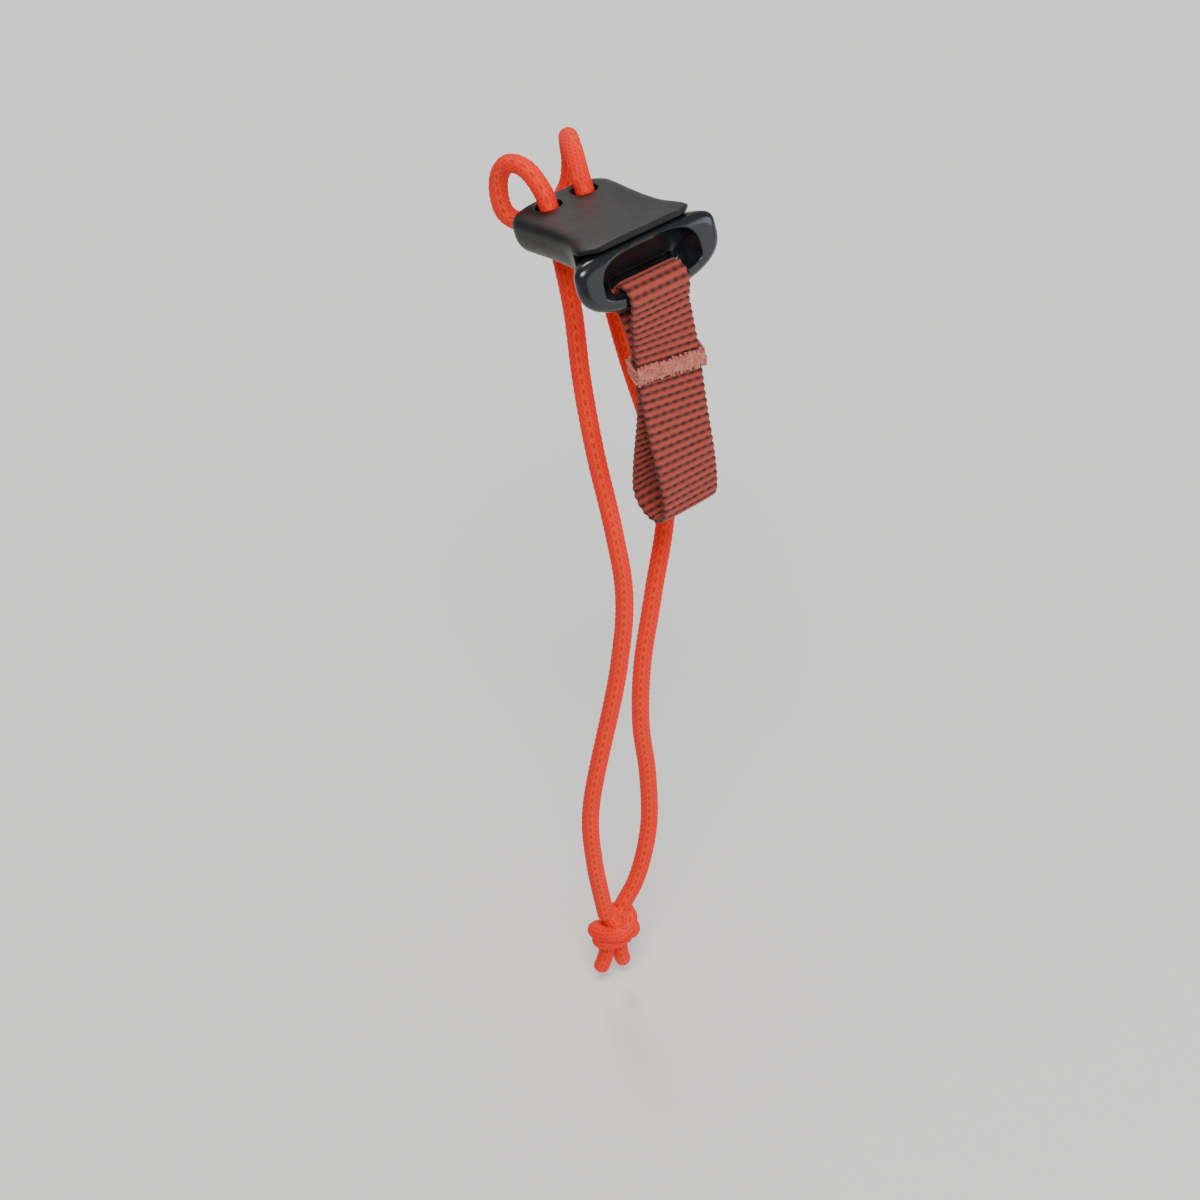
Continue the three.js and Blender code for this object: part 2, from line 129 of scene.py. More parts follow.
NECK_SIZE = 2.1
NECK_Z = -3.4
NECK_SLOT_HALF_WIDTH = 1.35
HEAD_HALF_WIDTH = 6.7
WEB_STATION = 8.7
WEB_THICKNESS = 1
WEB_HALF_WIDTH = 5
WEB_TOP = -1.4

SPRING_START = 10.0
SPRING_END = 16.5
SPRING_WIRE = 0.45
SPRING_DIAMETER = 3.7
SPRING_TURNS = 3

HOUSING_VOXEL = 0.13
PLUNGER_VOXEL = 0.12


# Camera, floor and light

def make_camera():
    low, high = CAD_BOX
    centre = (low + high) / 2
    camera = bpy.data.objects.new("camera", bpy.data.cameras.new("camera"))
    camera.data.lens = CAMERA_LENS
    camera.location = centre + VIEW_BACK * CAMERA_DISTANCE
    camera.rotation_mode = "QUATERNION"
    camera.rotation_quaternion = (-VIEW_BACK).to_track_quat("-Z", "Y")
    camera.data.clip_start = 0.01
    camera.data.clip_end = 10
    bpy.context.collection.objects.link(camera)
    bpy.context.scene.camera = camera


def make_floor():
    size = FLOOR_SIZE
    height = CAD_BOX[0].z - FLOOR_DROP
    mesh = bpy.data.meshes.new("floor")
    corners = [(-size, -size), (size, -size), (size, size), (-size, size)]
    mesh.from_pydata([(x, y, height) for x, y in corners], [], [(0, 1, 2, 3)])
    floor = bpy.data.objects.new("floor", mesh)
    bpy.context.collection.objects.link(floor)
    material = bpy.data.materials.new("floor")
    material.use_nodes = True
    shader = material.node_tree.nodes["Principled BSDF"]
    shader.inputs["Base Color"].default_value = (0.78, 0.77, 0.75, 1)
    shader.inputs["Roughness"].default_value = 0.9
    mesh.materials.append(material)


def make_area_light(name, place, size, power, colour):
    light = bpy.data.lights.new(name, "AREA")
    light.shape = "DISK"
    light.size = size
    light.energy = power
    light.color = colour
    lamp = bpy.data.objects.new(name, light)
    centre = Vector((0, -0.01, -0.05))
    lamp.location = place
    lamp.rotation_mode = "QUATERNION"
    lamp.rotation_quaternion = (Vector(place) - centre).to_track_quat("Z", "Y")
    bpy.context.collection.objects.link(lamp)


def make_lights():
    make_area_light("key", (-0.25, -0.35, 0.75), 0.35, 8.0, (1.0, 0.97, 0.93))
    make_area_light("fill", (0.65, -0.55, 0.25), 0.6, 3.2, (0.93, 0.96, 1.0))
    make_area_light("rim", (0.25, 0.7, 0.45), 0.4, 4.0, (1.0, 1.0, 1.0))
    make_area_light("front", (0.3, -0.75, 0.0), 0.6, 1.0, (0.93, 0.96, 1.0))
    world = bpy.data.worlds.new("studio")
    world.use_nodes = True
    background = world.node_tree.nodes["Background"]
    background.inputs["Color"].default_value = (0.92, 0.95, 1.0, 1)
    background.inputs["Strength"].default_value = 0.38
    bpy.context.scene.world = world


# Materials

class Shade:
    """A small helper that adds nodes to one material."""

    def __init__(self, name):
        self.material = bpy.data.materials.new(name)
        self.material.use_nodes = True
        self.tree = self.material.node_tree
        self.shader = self.tree.nodes["Principled BSDF"]

    def node(self, kind, **settings):
        node = self.tree.nodes.new(kind)
        for key, value in settings.items():
            setattr(node, key, value)
        return node

    def link(self, source, target):
        self.tree.links.new(source, target)

    def coordinates(self, kind="Object"):
        return self.node("ShaderNodeTexCoord").outputs[kind]

    def noise(self, scale, detail=4.0, source=None, roughness=0.6):
        node = self.node("ShaderNodeTexNoise")
        node.inputs["Scale"].default_value = scale
        node.inputs["Detail"].default_value = detail
        node.inputs["Roughness"].default_value = roughness
        self.link(source or self.coordinates(), node.inputs["Vector"])
        return node.outputs["Fac"]

    def math(self, operation, first, second=None):
        node = self.node("ShaderNodeMath", operation=operation)
        for index, value in enumerate((first, second)):
            if value is None:
                continue
            if isinstance(value, (int, float)):
                node.inputs[index].default_value = value
            else:
                self.link(value, node.inputs[index])
        return node.outputs[0]

    def span(self, value, low, high, new_low=0.0, new_high=1.0):
        node = self.node("ShaderNodeMapRange")
        self.link(value, node.inputs["Value"])
        limits = {"From Min": low, "From Max": high, "To Min": new_low, "To Max": new_high}
        for key, number in limits.items():
            node.inputs[key].default_value = number
        return node.outputs["Result"]

    def mix(self, factor, first, second):
        node = self.node("ShaderNodeMix", data_type="RGBA")
        self.link(factor, node.inputs[0])
        for index, value in ((6, first), (7, second)):
            if isinstance(value, tuple):
                node.inputs[index].default_value = (*value, 1)
            else:
                self.link(value, node.inputs[index])
        return node.outputs[2]

    def bump(self, height, strength, distance, normal=None):
        node = self.node("ShaderNodeBump")
        node.inputs["Strength"].default_value = strength
        node.inputs["Distance"].default_value = distance
        self.link(height, node.inputs["Height"])
        if normal:
            self.link(normal, node.inputs["Normal"])
        return node.outputs["Normal"]

    def set(self, **values):
        for key, value in values.items():
            socket = self.shader.inputs[key.replace("_", " ")]
            if hasattr(value, "is_linked"):
                self.link(value, socket)
            else:
                socket.default_value = (*value, 1) if isinstance(value, tuple) else value


def housing_material():
    """Matte charcoal moulding with a fine spark-eroded texture."""
    shade = Shade("housing_plastic")
    grain = shade.noise(5200, 3)
    cloud = shade.noise(260, 3)
    dark, light = (0.0060, 0.0056, 0.0052), (0.010, 0.0093, 0.0088)
    tint = shade.mix(shade.span(cloud, 0.35, 0.65), dark, light)
    rough = shade.span(shade.noise(900, 4), 0.3, 0.7, 0.36, 0.48)
    shade.set(Base_Color=tint, Roughness=rough, Specular_IOR_Level=0.22)
    shade.set(Normal=shade.bump(grain, 0.35, 0.00006))
    return shade.material


def plunger_material():
    """Semi-gloss black moulding, a little bluer and smoother than the housing."""
    shade = Shade("plunger_plastic")
    cloud = shade.noise(300, 3)
    dark, light = (0.0060, 0.0070, 0.0085), (0.0095, 0.011, 0.0135)
    tint = shade.mix(shade.span(cloud, 0.35, 0.65), dark, light)
    rough = shade.span(shade.noise(1100, 4), 0.3, 0.7, 0.16, 0.28)
    shade.set(Base_Color=tint, Roughness=rough)
    shade.set(Normal=shade.bump(shade.noise(3600, 3), 0.15, 0.00004))
    return shade.material


def spring_material():
    shade = Shade("spring_wire")
    rough = shade.span(shade.noise(4000, 2), 0.3, 0.7, 0.2, 0.34)
    shade.set(Base_Color=(0.6, 0.61, 0.63), Metallic=1.0, Roughness=rough)
    return shade.material


def braid_material():
    """Orange-red braid. The braid map runs round the cord (u) and along it in mm (v)."""
    shade = Shade("cord_braid")
    separate = shade.node("ShaderNodeSeparateXYZ")
    shade.link(shade.node("ShaderNodeUVMap", uv_map="braid").outputs["UV"], separate.inputs[0])
    around, along = separate.outputs["X"], separate.outputs["Y"]
    turn = shade.math("MULTIPLY", around, 2 * math.pi)
    wave = shade.math("MULTIPLY", along, 2 * math.pi / BRAID_PITCH)
    # Painted shade: the braid's colour follows its surface relief and is darker in the hollows
    # between strands.
    rows = shade.math("COSINE", shade.math("MULTIPLY", turn, BRAID_COLUMNS))
    cells = shade.math("MULTIPLY", rows, shade.math("COSINE", wave))
    colour = shade.mix(shade.span(cells, -1.0, 0.2), (0.60, 0.006, 0.001), (0.90, 0.012, 0.001))
    wear = shade.span(shade.noise(700, 3), 0.35, 0.7)
    colour = shade.mix(shade.math("MULTIPLY", wear, 0.35), colour, (0.95, 0.028, 0.002))
    # Painted highlight: a lighter band along the side of the cord that faces the camera, and
    # along the side opposite it.
    line = shade.math("COSINE", shade.math("MULTIPLY", turn, 2))
    painted_highlight = shade.math("MULTIPLY", shade.span(line, 0.74, 0.84), 0.45)
    colour = shade.mix(painted_highlight, colour, (1.0, 0.075, 0.006))
    dash = shade.math("COSINE", shade.math("MULTIPLY", along, 2 * math.pi / FLECK_PITCH))
    fleck = shade.math("MULTIPLY", shade.span(line, 0.935, 0.97), shade.span(dash, -0.2, 0.15))
    colour = shade.mix(shade.math("MULTIPLY", fleck, 0.5), colour, (0.36, 0.008, 0.003))
    slant = shade.math("ADD", shade.math("MULTIPLY", turn, 64), shade.math("MULTIPLY", wave, 4))
    shade.set(Base_Color=colour, Roughness=0.8, Specular_IOR_Level=0.3, Sheen_Weight=0.05)
    shade.set(Sheen_Tint=(1.0, 0.3, 0.15))
    shade.set(Normal=shade.bump(shade.math("SINE", slant), 0.25, 0.00004))
    return shade.material


def webbing_material():
    """Rust ribbed webbing. The weave map holds mm along the tape (u) and across it (v)."""
    shade = Shade("webbing_weave")
    height = shade.node("ShaderNodeAttribute", attribute_name="rib").outputs["Fac"]
    separate = shade.node("ShaderNodeSeparateXYZ")
    shade.link(shade.node("ShaderNodeUVMap", uv_map="weave").outputs["UV"], separate.inputs[0])
    along, across = separate.outputs["X"], separate.outputs["Y"]
    # Painted shade: the colour follows the rib height and is near black in the grooves between
    # ribs.
    colour = shade.mix(shade.span(height, 0.1, 0.8), (0.022, 0.002, 0.002), (0.34, 0.046, 0.030))
    blotch = shade.span(shade.noise(420, 3), 0.35, 0.7)
    colour = shade.mix(shade.math("MULTIPLY", blotch, 0.25), colour, (0.25, 0.034, 0.022))
    yarn = shade.math("SINE", shade.math("MULTIPLY", across, 2 * math.pi / YARN_PITCH))
    ply = shade.math("SINE", shade.math("MULTIPLY", along, 2 * math.pi / PLY_PITCH))
    fine = shade.math("ADD", yarn, shade.math("MULTIPLY", ply, 0.5))
    shade.set(Base_Color=colour, Roughness=0.88, Sheen_Weight=0.12, Sheen_Roughness=0.5)
    shade.set(Sheen_Tint=(1.0, 0.6, 0.5))
    shade.set(Normal=shade.bump(fine, 0.3, 0.00005))
    return shade.material


def thread_material():
    shade = Shade("tack_thread")
    cloud = shade.span(shade.noise(900, 3), 0.3, 0.7)
    colour = shade.mix(cloud, (0.30, 0.060, 0.042), (0.50, 0.150, 0.105))
    shade.set(Base_Color=colour, Roughness=0.6, Sheen_Weight=0.4)
    shade.set(Sheen_Tint=(1.0, 0.7, 0.6))
    shade.set(Normal=shade.bump(shade.noise(9000, 2), 0.4, 0.00004))
    return shade.material


# Mesh helpers

def mesh_object(name, points, faces, place=None, smooth=True):
    mesh = bpy.data.meshes.new(name)
    mesh.from_pydata([tuple(p) for p in points], [], [tuple(f) for f in faces])
    mesh.validate()
    if place is not None:
        mesh.transform(place)
    for polygon in mesh.polygons:
        polygon.use_smooth = smooth
    obj = bpy.data.objects.new(name, mesh)
    bpy.context.collection.objects.link(obj)
    return obj


def finish_piece(obj, body, slot, material, *nodes):
    obj.data.materials.clear()
    obj.data.materials.append(material)
    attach(obj, body)
    if nodes:
        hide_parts(*nodes)
    return obj


def station_to_y(station):
    return station - CORD_STATION


def section_points(section, sides):
    """One closed section in X and Z: two half superellipses that meet where it is widest."""
    angle = np.arange(sides) / sides * 2 * math.pi
    cos, sin = np.cos(angle), np.sin(angle)
    upper = sin >= 0
    power = 2 / np.where(upper, section["top_round"], section["bottom_round"])
    reach = np.where(upper, section["top"], section["bottom"]) - section["widest"]
    x = section["half_width"] * np.sign(cos) * np.abs(cos) ** power
    z = section["widest"] + reach * np.abs(sin) ** power
    y = np.full(sides, station_to_y(section["station"]))
    return np.stack([x, y, z], axis=1)


def loft(name, sections, sides=160):
    rings = [section_points(section, sides) for section in sections]
    points = np.concatenate(rings)
    faces = []
    for ring in range(len(rings) - 1):
        for i in range(sides):
            a = ring * sides + i
            b = ring * sides + (i + 1) % sides
            faces.append((a, a + sides, b + sides, b))
    faces.append(tuple(range(sides)))
    last = (len(rings) - 1) * sides
    faces.append(tuple(reversed(range(last, last + sides))))
    return mesh_object(name, points, faces)


def box(name, low, high):
    x0, y0, z0 = low
    x1, y1, z1 = high
    points = [(x, y, z) for z in (z0, z1) for y in (y0, y1) for x in (x0, x1)]
    faces = [(0, 2, 3, 1), (4, 5, 7, 6), (0, 1, 5, 4), (2, 6, 7, 3), (0, 4, 6, 2), (1, 3, 7, 5)]
    return mesh_object(name, points, faces, smooth=False)


def prism(name, outline, low, high):
    """An outline in X and Y, raised from low to high in Z."""
    count = len(outline)
    points = [(x, y, low) for x, y in outline] + [(x, y, high) for x, y in outline]
    faces = [tuple(reversed(range(count))), tuple(range(count, 2 * count))]
    for i in range(count):
        j = (i + 1) % count
        faces.append((i, j, j + count, i + count))
    return mesh_object(name, points, faces, smooth=False)


def rod(name, centre, axis, radius, length, sides=48):
    mesh = bmesh.new()
    bmesh.ops.create_cone(
        mesh, cap_ends=True, segments=sides, radius1=radius, radius2=radius, depth=length,
    )
    data = bpy.data.meshes.new(name)
    mesh.to_mesh(data)
    mesh.free()
    turn = Vector(axis).to_track_quat("Z", "Y").to_matrix().to_4x4()
    data.transform(Matrix.Translation(centre) @ turn)
    obj = bpy.data.objects.new(name, data)
    bpy.context.collection.objects.link(obj)
    return obj


def evaluated(obj):
    graph = bpy.context.evaluated_depsgraph_get()
    mesh = bpy.data.meshes.new_from_object(obj.evaluated_get(graph))
    obj.modifiers.clear()
    old = obj.data
    obj.data = mesh
    bpy.data.meshes.remove(old)


def combine(obj, operation, *others):
    for other in others:
        modifier = obj.modifiers.new(operation, "BOOLEAN")
        modifier.operation = operation
        modifier.solver = "MANIFOLD"
        modifier.object = other
        evaluated(obj)
        bpy.data.objects.remove(other)
    return obj


def mould(obj, voxel, passes):
    """Gives a cut shape the small, even edge radius of a moulding, and sets it in the lock."""
    remesh = obj.modifiers.new("skin", "REMESH")
    remesh.mode = "VOXEL"
    remesh.voxel_size = voxel
    remesh.use_smooth_shade = True
    smooth = obj.modifiers.new("soften", "SMOOTH")
    smooth.factor = 0.5
    smooth.iterations = passes
    evaluated(obj)
    obj.data.transform(Matrix.Scale(MM, 4) @ LOCK)
    for polygon in obj.data.polygons:
        polygon.use_smooth = True
    return obj


# Curves

def smooth_rise(value, low, high):
    """Rises smoothly from 0 at low to 1 at high, for one value or an array."""
    t = np.clip((value - low) / (high - low), 0, 1)
    return t * t * (3 - 2 * t)


def bezier(a, b, c, d, count):
    t = np.linspace(0, 1, count, endpoint=False)[:, None]
    a, b, c, d = (np.array(p, float) for p in (a, b, c, d))
    return (1 - t) ** 3 * a + 3 * (1 - t) ** 2 * t * b + 3 * (1 - t) * t ** 2 * c + t ** 3 * d


def arc(radius, centre_z, start, end, count):
    t = np.linspace(start, end, count, endpoint=False)
    return np.stack([radius * np.cos(t), centre_z + radius * np.sin(t)], axis=1)


# The housing

def housing_half_width(station):
    flare = MOUTH_FLARE * math.exp(-(((station - 2.5) / 3.5) ** 2))
    return HOUSING_HALF_WIDTH + flare + REAR_FLARE * smooth_rise(station, 12, 24)


def housing_top(station):
    """The top rises by 1 mm from the mouth to the rear."""
    return station / HOUSING_LENGTH


def housing_bottom(station):
    return (MOUTH_DEPTH - REAR_DEPTH) * smooth_rise(station, 0, 18) - MOUTH_DEPTH


def rear_inset(station, radius):
    """How far a rounded rear edge of this radius draws the section in."""
    past = max(0.0, station - (HOUSING_LENGTH - radius))
    return radius - math.sqrt(max(0.0, radius ** 2 - past ** 2))


def housing_section(station, inset=0.0):
    return {
        "station": station,
        "half_width": housing_half_width(station) - rear_inset(station, REAR_CORNER) - inset,
        "top": housing_top(station) - rear_inset(station, REAR_EDGE) - inset,
        "bottom": housing_bottom(station) + rear_inset(station, REAR_EDGE) + inset,
        "widest": housing_top(station) - 2.4,
        "top_round": 5 - 1.8 * station / HOUSING_LENGTH,
        "bottom_round": 2.8,
    }


def housing_form(name="housing_cover_skin"):
    start = HOUSING_LENGTH - REAR_CORNER
    straight = list(np.linspace(0, start, 43))
    rear = [start + REAR_CORNER * math.sin(t) for t in np.linspace(0, math.pi / 2, 16)[1:]]
    return loft(name, [housing_section(s) for s in straight + rear])


def housing_cavity(name):
    sections = []
    end = HOUSING_LENGTH - WALL
    wide_end = end - REAR_EDGE
    for station in (-1, 3, 6, 10, 15, 19, wide_end, end):
        section = housing_section(min(station, wide_end), WALL)
        section["station"] = station
        section["top_round"] = 6
        sections.append(section)
    return loft(name, sections, 96)


def floor_outline(inset):
    """The opening in the cover's underside, with round rear corners."""
    half = FLOOR_HALF_WIDTH - inset
    front = station_to_y(-1)
    rear = station_to_y(HOUSING_LENGTH - WALL) - inset
    corner = FLOOR_CORNER
    outline = [(-half, front), (half, front)]
    for quarter, x in ((0, half - corner), (1, corner - half)):
        for step in range(9):
            angle = (quarter + step / 8) * math.pi / 2
            y = rear - corner + corner * math.sin(angle)
            outline.append((x + corner * math.cos(angle), y))
    return outline


def cord_holes():
    radius = CORD_HOLE_DIAMETER / 2
    return [rod("hole", (side * CORD_HOLE_X, 0, -6), (0, 0, 1), radius, 30) for side in (-1, 1)]


def mouth_cuts():
    """Clears the space in front of the side walls, except for the brow over the ring."""
    front, rear = station_to_y(-2), station_to_y(BROW_LENGTH)
    below = box("below", (-BEYOND, front, -BEYOND), (BEYOND, rear, -BROW_THICKNESS))
    corner = bezier((BROW_CORNER_X, 0), (8.6, 0.05), (9.6, 1.6), (BROW_SIDE_X, BROW_LENGTH), 14)
    outline = [(BROW_CORNER_X, front)]
    outline += [(x, station_to_y(station)) for x, station in corner]
    outline += [(BROW_SIDE_X, rear), (BEYOND, rear), (BEYOND, front)]
    right = prism("side", outline[::-1], -BEYOND - 1, 3)
    left = prism("side", [(-x, y) for x, y in outline], -BEYOND - 1, 3)
    return [below, right, left]


def make_housing_cover(material):
    cover = housing_form()
    opening = prism("opening", floor_outline(0), -BEYOND - 1, FLOOR_TOP)
    combine(cover, "DIFFERENCE", housing_cavity("cavity"), opening, *mouth_cuts(), *cord_holes())
    mould(cover, HOUSING_VOXEL, 5)
    return finish_piece(cover, "housing", "housing", material, "housing_cover")


def make_housing_base(material):
    base = housing_form("housing_base_skin")
    low, high = (-BEYOND, station_to_y(-2), -BEYOND), (BEYOND, station_to_y(BASE_FRONT), 4)
    front = box("front", low, high)
    rim = prism("rim", floor_outline(BASE_GAP), -BEYOND - 1, FLOOR_TOP)
    combine(base, "INTERSECT", rim)
    combine(base, "DIFFERENCE", housing_cavity("cavity"), front)
    low = (-WEB_HALF_WIDTH, station_to_y(WEB_STATION), housing_bottom(WEB_STATION) + 1)
    high = (WEB_HALF_WIDTH, station_to_y(WEB_STATION + WEB_THICKNESS), WEB_TOP)
    web = box("web", low, high)
    low = (-NECK_SLOT_HALF_WIDTH, station_to_y(7), NECK_Z - NECK_SLOT_HALF_WIDTH)
    slot = box("slot", low, (NECK_SLOT_HALF_WIDTH, station_to_y(12), 3))
    combine(web, "DIFFERENCE", slot)
    combine(base, "UNION", web)
    combine(base, "DIFFERENCE", *cord_holes())
    mould(base, HOUSING_VOXEL, 3)
    return finish_piece(base, "housing", "housing", material, "housing_base")


# The plunger

def ring_section(station, inset, half_width=RING_HALF_WIDTH):
    return {
        "station": station,
        "half_width": half_width - inset,
        "top": RING_TOP - inset,
        "bottom": RING_BOTTOM + inset,
        "widest": -5.2,
        "top_round": 4.6,
        "bottom_round": 2.5,
    }


def ring_form():
    return loft("plunger_skin", [
        ring_section(-0.9, 1.5),
        ring_section(-0.82, 1.05),
        ring_section(-0.62, 0.65),
        ring_section(-0.35, 0.32),
        ring_section(0.0, 0.1),
        ring_section(0.4, 0),
        ring_section(1.0, 0, 12.4),
        ring_section(1.7, 0, 11.9),
        ring_section(2.4, 0, 11.2),
        ring_section(3.4, 0.05, 10.4),
    ])


def ring_pocket():
    """A scoop whose back wall starts under the top lip and falls away inward."""
    sections = []
    for fraction in np.linspace(0, 1, 40):
        sections.append({
            "station": SCOOP_DEPTH * fraction - SCOOP_START,
            "half_width": SCOOP_HALF_WIDTH - 2 * fraction ** 1.5,
            "top": SCOOP_TOP - SCOOP_FALL * fraction ** 2.6,
            "bottom": SCOOP_BOTTOM,
            "widest": -7.3 - 0.3 * fraction,
            "top_round": 3.4,
            "bottom_round": 2.4,
        })
    return loft("pocket", sections, 120)


def straight_block(name, front, rear, half_width, top, bottom, widest):
    section = {
        "half_width": half_width, "top": top, "bottom": bottom, "widest": widest,
        "top_round": 6, "bottom_round": 2.6,
    }
    return loft(name, [{"station": station, **section} for station in (front, rear)], 96)


def make_plunger(material):
    ring = ring_form()
    block = straight_block("block", 3.0, 8.4, HEAD_HALF_WIDTH, -1.75, -5.8, -2.8)
    combine(ring, "UNION", block)
    low = (-BAR_GAP_HALF_WIDTH, station_to_y(-3), -14)
    gap = box("gap", low, (BAR_GAP_HALF_WIDTH, station_to_y(BAR_GAP_REAR), BAR_GAP_TOP))
    low = (-SKIRT_HALF_WIDTH, station_to_y(3.2), SKIRT_BOTTOM)
    skirt = box("skirt", low, (SKIRT_HALF_WIDTH, station_to_y(5.1), -4))
    combine(ring, "UNION", skirt)
    combine(ring, "DIFFERENCE", ring_pocket(), gap)
    centre = (0, station_to_y(BAR_STATION), BAR_Z)
    bar = rod("bar", centre, (1, 0, 0), BAR_RADIUS, BAR_LENGTH)
    half = NECK_SIZE / 2
    low = (-half, station_to_y(7.7), NECK_Z - half)
    neck = box("neck", low, (half, station_to_y(17.5), NECK_Z + half))
    head = straight_block("head", 16.8, 18.7, HEAD_HALF_WIDTH, -1.2, -5.4, -2.4)
    combine(ring, "UNION", bar, neck, head)
    mould(ring, PLUNGER_VOXEL, 6)
    return finish_piece(ring, "plunger", "plunger", material, "plunger")


# Tubes that follow a path: the braided cord, the spring and threads

def catmull_rom(points, per_span):
    """A smooth line through the points, closed up at neither end (centripetal spacing)."""
    points = [np.array(p, float) for p in points]
    first = 2 * points[0] - points[1]
    last = 2 * points[-1] - points[-2]
    row = [first] + points + [last]
    line = []
    for i in range(1, len(row) - 2):
        a, b, c, d = row[i - 1:i + 3]
        t0 = 0.0
        t1 = t0 + np.linalg.norm(b - a) ** 0.5
        t2 = t1 + np.linalg.norm(c - b) ** 0.5
        t3 = t2 + np.linalg.norm(d - c) ** 0.5
        for t in np.linspace(t1, t2, per_span, endpoint=False):
            ab = a * (t1 - t) / (t1 - t0) + b * (t - t0) / (t1 - t0)
            bc = b * (t2 - t) / (t2 - t1) + c * (t - t1) / (t2 - t1)
            cd = c * (t3 - t) / (t3 - t2) + d * (t - t2) / (t3 - t2)
            abc = ab * (t2 - t) / (t2 - t0) + bc * (t - t0) / (t2 - t0)
            bcd = bc * (t3 - t) / (t3 - t1) + cd * (t - t1) / (t3 - t1)
            line.append(abc * (t2 - t) / (t2 - t1) + bcd * (t - t1) / (t2 - t1))
    line.append(points[-1])
    return np.array(line)


def resample(line, step):
    spans = np.linalg.norm(np.diff(line, axis=0), axis=1)
    along = np.concatenate([[0], np.cumsum(spans)])
    count = max(2, int(round(along[-1] / step)) + 1)
    even = np.linspace(0, along[-1], count)
    return np.stack([np.interp(even, along, line[:, i]) for i in range(3)], axis=1), even


def tube_faces(rings, sides):
    """The walls between the rings of a tube, and its two end caps."""
    faces = []
    for ring in range(rings - 1):
        for i in range(sides):
            a = ring * sides + i
            b = ring * sides + (i + 1) % sides
            faces.append((a, b, b + sides, a + sides))
    last = (rings - 1) * sides
    faces.append(tuple(reversed(range(sides))))
    faces.append(tuple(range(last, last + sides)))
    return faces


def path_frames(line, facing):
    """Up and side at each point of a line. Up keeps to the facing direction where it can."""
    tangent = np.gradient(line, axis=0)
    tangent /= np.linalg.norm(tangent, axis=1)[:, None]
    up = facing - tangent * (tangent @ facing)[:, None]
    lengths = np.linalg.norm(up, axis=1)
    for i in range(1, len(line)):
        if lengths[i] < 0.45:
            carried = up[i - 1] - tangent[i] * (tangent[i] @ up[i - 1])
            up[i] = carried
        up[i] /= np.linalg.norm(up[i])
        if up[i] @ up[i - 1] < 0.9:
            blend = up[i - 1] * 0.9 + up[i] * 0.1
            blend -= tangent[i] * (tangent[i] @ blend)
            up[i] = blend / np.linalg.norm(blend)
    up[0] /= np.linalg.norm(up[0])
    side = np.cross(tangent, up)
    return up, side


BRAID_COLUMNS = 12
BRAID_PITCH = 1.25
BRAID_RELIEF = 0.04
BRAID_STEP = 0.26
FLECK_PITCH = 1.9


def round_off(reach, along, length):
    """Draws a tube's surface in over this length at both of its ends."""
    for i, distance in enumerate(along):
        gap = min(distance, along[-1] - distance)
        if gap < length:
            reach[i] *= math.sqrt(max(0.02, 1 - (1 - gap / length) ** 2)) * 0.3 + 0.7


def map_braid(obj, sides, along):
    """The braid map: the share of a turn round the tube (u) and millimetres along it (v)."""
    loops = obj.data.uv_layers.new(name="braid").data
    for polygon in obj.data.polygons:
        ids = [obj.data.loops[k].vertex_index for k in polygon.loop_indices]
        wraps = any(v % sides == 0 for v in ids) and any(v % sides == sides - 1 for v in ids)
        for k, v in zip(polygon.loop_indices, ids):
            u = v % sides
            if wraps and u == 0 and len(ids) == 4:
                u = sides
            loops[k].uv = (u / sides, along[v // sides])


def braided_tube(name, line, radius=CORD_DIAMETER / 2, sides=48, round_ends=0.0):
    """A closed braided tube along the line, with the strands' bumps in its surface."""
    line, along = resample(line, BRAID_STEP)
    up, side = path_frames(line, np.array(VIEW_BACK))
    angle = np.arange(sides) / sides * 2 * math.pi
    wave = np.cos(2 * math.pi * along / BRAID_PITCH)[:, None]
    relief = BRAID_RELIEF * (np.cos(BRAID_COLUMNS * angle)[None, :] * wave - 0.3)
    reach = np.full((len(line), sides), radius) + relief
    if round_ends:
        round_off(reach, along, round_ends)
    points = (
        line[:, None, :]
        + up[:, None, :] * (np.cos(angle)[None, :, None] * reach[:, :, None])
        + side[:, None, :] * (np.sin(angle)[None, :, None] * reach[:, :, None])
    ).reshape(-1, 3)
    obj = mesh_object(name, points * MM, tube_faces(len(line), sides))
    map_braid(obj, sides, along)
    return obj


def plain_tube(line, radius, sides):
    """A closed round tube along a line in millimetres."""
    tangent = np.gradient(line, axis=0)
    tangent /= np.linalg.norm(tangent, axis=1)[:, None]
    up = np.zeros_like(line)
    start = np.array([0.3, 0.5, 0.81])
    for i, direction in enumerate(tangent):
        start = start - direction * (direction @ start)
        start /= np.linalg.norm(start)
        up[i] = start
    side = np.cross(tangent, up)
    angle = np.arange(sides) / sides * 2 * math.pi
    points = (
        line[:, None, :]
        + radius * up[:, None, :] * np.cos(angle)[None, :, None]
        + radius * side[:, None, :] * np.sin(angle)[None, :, None]
    ).reshape(-1, 3)
    return points, tube_faces(len(line), sides)


